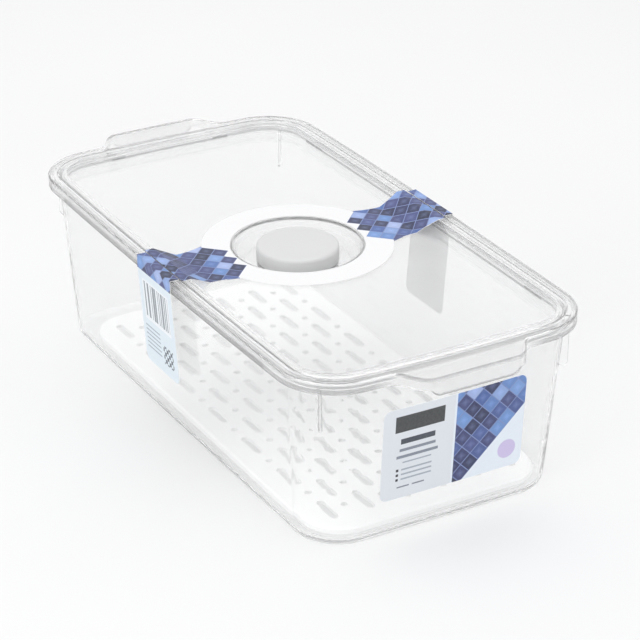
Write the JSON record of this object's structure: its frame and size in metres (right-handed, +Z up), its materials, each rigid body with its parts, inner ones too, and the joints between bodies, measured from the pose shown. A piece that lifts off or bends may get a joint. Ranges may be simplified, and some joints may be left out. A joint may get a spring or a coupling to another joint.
{
  "type": "produce keeper",
  "caption": "Clear lidded food bin with grip handles, a lift-out lid with a turning humidity vent, and a white perforated drain tray inside.",
  "frame": {"origin": "middle of the underside, on the surface it stands on", "axes": "+X to the right across the width, +Y along the length away from the labelled front end, +Z up"},
  "size_m": [0.1666, 0.342, 0.0962],
  "materials": {
    "clear_plastic": "clear, polished",
    "white_plastic": "fine satin",
    "grey_white_plastic": "satin",
    "silicone": "matte, translucent",
    "printed_card": "printed card, semi-matt",
    "printed_film": "printed film, semi-matt"
  },
  "bodies": {
    "bin": {"bin": "clear_plastic", "side_label_left": "printed_card", "side_label_right": "printed_card", "front_label": "printed_film"},
    "lid": {"lid": "clear_plastic", "lid_label": "printed_card"},
    "vent": {"vent_knob": "grey_white_plastic", "vent_shutter": "grey_white_plastic", "vent_seal": "silicone"},
    "tray": {"drain_tray": "white_plastic"}
  },
  "joints": [
    {"name": "lid_lift", "type": "slide", "parent": "bin", "child": "lid", "axis": [0, 0, 1], "range_m": [0, 0.12]},
    {"name": "vent_turn", "type": "hinge", "parent": "lid", "child": "vent", "pos_m": [0, 0, 0.082], "axis": [0, 0, 1], "range_deg": [0, 30]},
    {"name": "tray_lift", "type": "slide", "parent": "bin", "child": "tray", "axis": [0, 0, 1], "range_m": [0, 0.06]}
  ]
}
